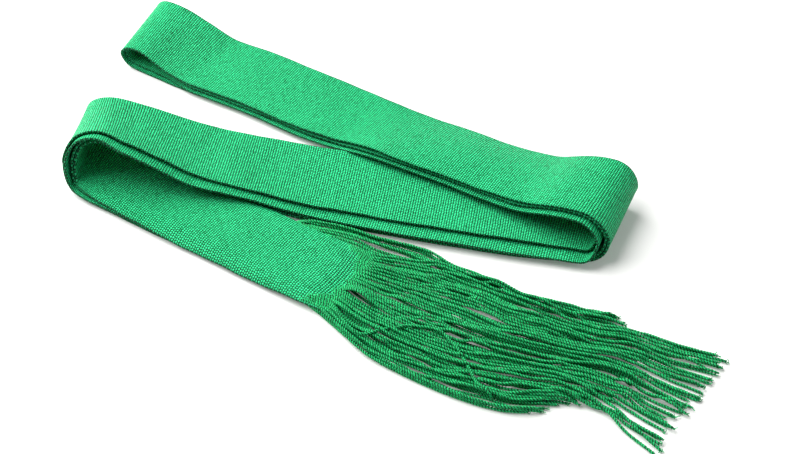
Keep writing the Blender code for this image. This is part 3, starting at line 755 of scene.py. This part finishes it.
class Heap:
    """How high the middle of one more cord would rest, on a grid in plan."""

    def __init__(self, low, high):
        self.low = np.array(low)
        self.top = np.ceil((np.array(high) - self.low) / CELL).astype(int)
        self.rest = np.full(self.top + 1, CORD_FLOOR)
        reach = np.arange(-math.floor(NESTLE / CELL), math.floor(NESTLE / CELL) + 1)
        i, j = (grid.ravel() for grid in np.meshgrid(reach, reach, indexing="ij"))
        away = np.hypot(i, j) * CELL
        self.round = np.stack((i, j), -1)[away < NESTLE]
        self.rise = np.sqrt(NESTLE**2 - away[away < NESTLE]**2)

    def settle(self, plan, hang, stiff):
        """Lay a cord down over the heap, no lower than it hangs, and add it to the heap."""
        cell = np.clip(np.round((plan - self.low) / CELL).astype(int), 0, self.top)
        rest = np.maximum(self.rest[cell[:, 0], cell[:, 1]], hang)
        held = np.max(np.lib.stride_tricks.sliding_window_view(
            np.pad(rest, stiff, mode="edge"), 2 * stiff + 1), axis=1)
        window = np.hanning(2 * stiff + 3)[1:-1]
        soft = np.convolve(np.pad((held + rest) / 2, stiff, mode="edge"), window / window.sum(),
                           mode="valid")
        height = np.maximum(soft, rest - SPRING)
        cells = np.clip(cell[:, None, :] + self.round, 0, self.top)
        np.maximum.at(self.rest, (cells[..., 0], cells[..., 1]), height[:, None] + self.rise)
        return np.column_stack((plan, height))


def along_line(points, t):
    """Places at the shares t of the length of a smooth curve through the points."""
    points = np.array(points, dtype=float)
    steps = np.linalg.norm(np.diff(points, axis=0), axis=1)
    where = np.concatenate(([0], np.cumsum(steps)))
    return np.stack([curve_through(where, column, t * where[-1]) for column in points.T], -1)


def wander(chance, t, turns, size):
    """A smooth random swing, with so many turns from 0 to 1 and of so large a size."""
    count = turns + 3
    values = chance.normal(0, size, count)
    where = (np.arange(count) + chance.random()) / turns - 1.2 / turns
    return curve_through(where, values, t)


def cord_plans(chance, count, root_near, root_far, near, far, crowd, strays):
    """The cords' ways in plan, between the fringe's near and far borders.

    A bundle's cords swing aside together, and each one a little by itself.
    """
    near, far = [tuple(root_near[:2]), *near], [tuple(root_far[:2]), *far]
    plans = []
    left_in_bundle = 0
    for i in range(count):
        if left_in_bundle == 0:
            left_in_bundle = chance.integers(*BUNDLE)
            bundle_seed = chance.integers(0, 10**6)
        left_in_bundle -= 1
        bundle = np.random.default_rng(bundle_seed)
        share = (i + 0.5) / count
        longer = MIDDLE_LONGER * crowd * max(0, 1 - 2.5 * abs(share - 0.5))
        length = 1 - SHORTER * chance.random() ** 1.6 + longer
        t = np.linspace(0, length, CORD_POINTS)
        loose = np.clip(2.2 * t, 0, 1) ** 1.2
        drift = wander(bundle, t, 5, BUNDLE_SWING) * (1 - 0.85 * t)
        drift = drift + wander(chance, t, 4, CORD_SWING)
        drift += wander(chance, t, 10, CORD_RIPPLE) + TIP_SPREAD * chance.normal() * t**3
        crowded = crowd * (curve_through(*np.array(CROWDED).T, share) - share)
        v = np.clip(share + loose * (drift + crowded), 0.004, 0.996)[:, None]
        plans.append(along_line(near, t) * (1 - v) + along_line(far, t) * v)
    for i, leaves, places in strays:
        kept = plans[i][:int(leaves * CORD_POINTS):STRAY_EVERY]
        plans[i] = along_line([*kept, *places], np.linspace(0, 1, CORD_POINTS))
    return plans


def from_weave(chance, layer, end, w, line, gone):
    """A cord that begins inside the weave, before the band's end, and then falls to its line."""
    early = CORDS_CENTRE + (CORDS_EDGE - CORDS_CENTRE) * abs(w)**3 + ROOT_RAGGED * chance.random()
    s = end - np.linspace(early, ROOT_LAST, ROOT_POINTS)
    height = ROOT_DEEP + (CLOTH / 2 + ROOT_HIGH) * ramp(s, s[0], ROOT_RISE)
    root = layer.place(s, np.full(ROOT_POINTS, w), height)
    lift = root[-1, 2] - line[0, 2]
    line[:, 2] += lift * ramp(-gone, -ROOT_BLEND, ROOT_BLEND)**2
    return np.vstack((root, line[2:]))


def fray_lines(chance, lines):
    """A small loop and short loose threads at every cord's tip."""
    threads = []
    for line in lines:
        tip, way = line[-1], line[-1] - line[-6]
        way = way / np.linalg.norm(way)
        side = np.array((-way[1], way[0], 0.0))
        for _ in range(FRAYS):
            spread = chance.normal(0, 0.5, 3)
            t = np.linspace(0, 1, 5)[:, None]
            points = tip + (way * t + spread * t**2) * (0.6 + 1.5 * chance.random())
            threads.append(points)
        turn = np.linspace(0, 2 * math.pi * KNOT_ROUND, 9)[:, None] + chance.random() * 6
        size = KNOT * (0.6 + 0.6 * chance.random())
        tilt = side * chance.choice((-1, 1)) + np.array((0, 0, 0.8))
        threads.append(tip + size * (way * (1 + np.cos(turn)) * 0.7 + tilt * np.sin(turn)))
    for points in threads:
        points[:, 2] = np.maximum(points[:, 2], FRAY_FLOOR)
    return threads


def line_mesh(name, lines):
    """A mesh of open lines, in metres."""
    points, edges = [], []
    for line in lines:
        first = len(points)
        points += ((line + lay_shift) * MM).tolist()
        edges += [(first + i, first + i + 1) for i in range(len(line) - 1)]
    mesh = bpy.data.meshes.new(name)
    mesh.from_pydata(points, edges, [])
    carrier = bpy.data.objects.new(name, mesh)
    bpy.context.collection.objects.link(carrier)
    return carrier


def twisted_ply_tree():
    """One ply of a twisted cord along every line, with its way outward kept at each point."""
    tree = bpy.data.node_groups.new("twisted_ply", "GeometryNodeTree")
    for label, kind in (("Geometry", "Geometry"), ("Step", "Float"), ("Radius", "Float"),
                        ("Apart", "Float"), ("Twist", "Float"), ("Turned", "Float"),
                        ("Sides", "Int"), ("Material", "Material")):
        tree.interface.new_socket(label, in_out="INPUT", socket_type="NodeSocket" + kind)
    tree.interface.new_socket("Geometry", in_out="OUTPUT", socket_type="NodeSocketGeometry")
    given = add(tree, "NodeGroupInput")
    lines = add(tree, "GeometryNodeMeshToCurve", i0=given.outputs["Geometry"])
    even = add(tree, "GeometryNodeResampleCurve", {"mode": "LENGTH"}, Curve=lines.outputs[0],
               Length=given.outputs["Step"])
    spline = add(tree, "GeometryNodeSplineParameter")
    tangent = add(tree, "GeometryNodeInputTangent")
    normal = add(tree, "GeometryNodeInputNormal")

    def maths(operation, a, b=0.0):
        return add(tree, "ShaderNodeMath", {"operation": operation}, i0=a, i1=b).outputs[0]

    def vectors(operation, a, b):
        return add(tree, "ShaderNodeVectorMath", {"operation": operation}, i0=a, i1=b).outputs[0]

    def scaled(vector, factor):
        return add(tree, "ShaderNodeVectorMath", {"operation": "SCALE"}, i0=vector,
                   Scale=factor).outputs[0]

    side = vectors("CROSS_PRODUCT", tangent.outputs[0], normal.outputs[0])
    turns = maths("DIVIDE", spline.outputs["Length"], given.outputs["Twist"])
    angle = maths("MULTIPLY", maths("ADD", turns, given.outputs["Turned"]), 2 * math.pi)
    outward = vectors("ADD", scaled(normal.outputs[0], maths("COSINE", angle)),
                      scaled(side, maths("SINE", angle)))
    kept = add(tree, "GeometryNodeStoreNamedAttribute", {"data_type": "FLOAT_VECTOR"},
               Geometry=even.outputs[0], Name="outward", Value=outward)
    way_out = add(tree, "GeometryNodeInputNamedAttribute", {"data_type": "FLOAT_VECTOR"},
                  Name="outward")
    ply = add(tree, "GeometryNodeSetPosition", Geometry=kept.outputs[0],
              Offset=scaled(way_out.outputs[0], given.outputs["Apart"]))
    round_ply = add(tree, "GeometryNodeCurvePrimitiveCircle", Radius=given.outputs["Radius"],
                    Resolution=given.outputs["Sides"])
    tube = add(tree, "GeometryNodeCurveToMesh", Curve=ply.outputs[0],
               Profile_Curve=round_ply.outputs[0], Fill_Caps=True)
    smooth = add(tree, "GeometryNodeSetShadeSmooth", Geometry=tube.outputs[0])
    real = add(tree, "GeometryNodeRealizeInstances", Geometry=smooth.outputs[0])
    finished = add(tree, "GeometryNodeSetMaterial", Geometry=real.outputs[0],
                   Material=given.outputs["Material"])
    add(tree, "NodeGroupOutput", i0=finished.outputs[0])
    return tree


def twisted(name, lines, tree, material, **sizes):
    """One ply, or one loose thread, along each line of a list, as one plain mesh object."""
    carrier = line_mesh(name + "_lines", lines)
    modifier = carrier.modifiers.new("cords", "NODES")
    modifier.node_group = tree
    values = {"Material": material, **sizes}
    for item in tree.interface.items_tree:
        if item.in_out == "INPUT" and item.name in values:
            modifier[item.identifier] = values[item.name]
    shown = carrier.evaluated_get(bpy.context.evaluated_depsgraph_get())
    mesh = bpy.data.meshes.new_from_object(shown)
    mesh.name = name
    bpy.data.objects.remove(carrier, do_unlink=True)
    piece = bpy.data.objects.new(name, mesh)
    bpy.context.collection.objects.link(piece)
    return piece


def twisted_silk(name, dark_below, light_above):
    """Twisted silk, a little darker than the weave, with painted shade between the plies and a
    painted highlight on them.
    """
    material = bpy.data.materials.new(name)
    material.use_nodes = True
    tree = material.node_tree
    shader = tree.nodes["Principled BSDF"]
    outward = add(tree, "ShaderNodeAttribute", {"attribute_name": "outward"})
    facing = add(tree, "ShaderNodeNewGeometry")
    crest = add(tree, "ShaderNodeVectorMath", {"operation": "DOT_PRODUCT"},
                i0=outward.outputs["Vector"], i1=facing.outputs["Normal"])
    place = add(tree, "ShaderNodeTexCoord")
    tufts = add(tree, "ShaderNodeTexNoise", Vector=place.outputs["Object"], Scale=900.0,
                Detail=2.0)
    uneven_crest = add(tree, "ShaderNodeMath", {"operation": "MULTIPLY_ADD"},
                       i0=tufts.outputs["Fac"], i1=1.3, i2=crest.outputs["Value"])
    # Painted shade where a ply's surface faces the other ply, and a painted highlight where it
    # faces out, varied at random by the tufts.
    spread = add(tree, "ShaderNodeMapRange", i0=uneven_crest.outputs[0], i1=dark_below,
                 i2=light_above)
    colour = add(tree, "ShaderNodeMix", {"data_type": "RGBA"}, i0=spread.outputs[0],
                 i6=srgb(CORD_SHADE), i7=srgb(CORD_HIGHLIGHT))
    tree.links.new(colour.outputs[2], shader.inputs["Base Color"])
    shader.inputs["Roughness"].default_value = 0.55
    shader.inputs["Specular IOR Level"].default_value = 0.15
    return material


def join(pieces):
    """One mesh object from several, under the first one's name."""
    with bpy.context.temp_override(active_object=pieces[0], selected_editable_objects=pieces):
        bpy.ops.object.join()
    return pieces[0]


ply_tree = twisted_ply_tree()
cord_silk = twisted_silk("twisted_silk_cord", dark_below=0.86, light_above=1.65)
loose_silk = twisted_silk("loose_silk_ends", dark_below=-0.9, light_above=1.7)
heap = Heap(HEAP_LOW, HEAP_HIGH)
FRINGES = (
    # node           layer         start      near side   far side   fall        crowd  count  seed
    ("fringe_under", second_layer, under_end, UNDER_NEAR, UNDER_FAR, HANG_UNDER, 1.0,   44,    9),
    ("fringe_top",   first_layer,  band_end,  TOP_NEAR,   TOP_FAR,   HANG_TOP,   0.0,   CORDS, 4),
)
for node, layer, start, near, far, hang, crowd, count, seed in FRINGES:
    chance = np.random.default_rng(seed)
    reach, fall = np.array(hang).T
    near_root, far_root = (layer.place(np.array(start + ROOT_OUT), np.array(w), 0.0)
                           for w in (-ROOT_SIDE, ROOT_SIDE))
    strays = [row[1:] for row in STRAYS if row[0] == node]
    plans = cord_plans(chance, count, near_root, far_root, near, far, crowd, strays)
    lines = [None] * count
    last = [i for i, *_ in strays]      # laid down over all the others
    for i in [i for i in chance.permutation(count) if i not in last] + last:
        plan = plans[i]
        gone = np.hypot(*(plan - plan[0]).T)
        hung = curve_through(reach, fall, gone)
        from_side = min(i, count - 1 - i) / (OUTER_SHARE * count)
        low = np.clip(1 - from_side, 0, 1) * ramp(gone, 0, OUTER_FALL)
        line = heap.settle(plan, hung + low * (CORD_FLOOR - hung),
                           STRAY_STIFF if i in last else STIFF)
        if layer is second_layer:
            line[:, 2] = np.minimum(line[:, 2], curve_through(*np.array(UNDER_CLOTH).T, gone))
        else:
            w = ROOT_SIDE * (2 * (i + 0.5) / count - 1)
            line = from_weave(chance, layer, start, w, line, gone)
        lines[i] = line
    plies = [twisted(node + "_cords", lines, ply_tree, cord_silk, Step=CORD_STEP * MM,
                     Radius=PLY * MM, Apart=PLY_APART * MM, Twist=TWIST * MM, Turned=turned,
                     Sides=PLY_SIDES) for turned in (0.0, 0.5)]
    frays = twisted(node + "_frays", fray_lines(chance, lines), ply_tree, loose_silk,
                    Step=FRAY_STEP * MM, Radius=FRAY_RADIUS * MM, Apart=0.0,
                    Twist=TWIST * MM, Turned=0.0, Sides=FRAY_SIDES)
    fringe = join([*plies, frays])
    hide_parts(node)
    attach(fringe, "root")
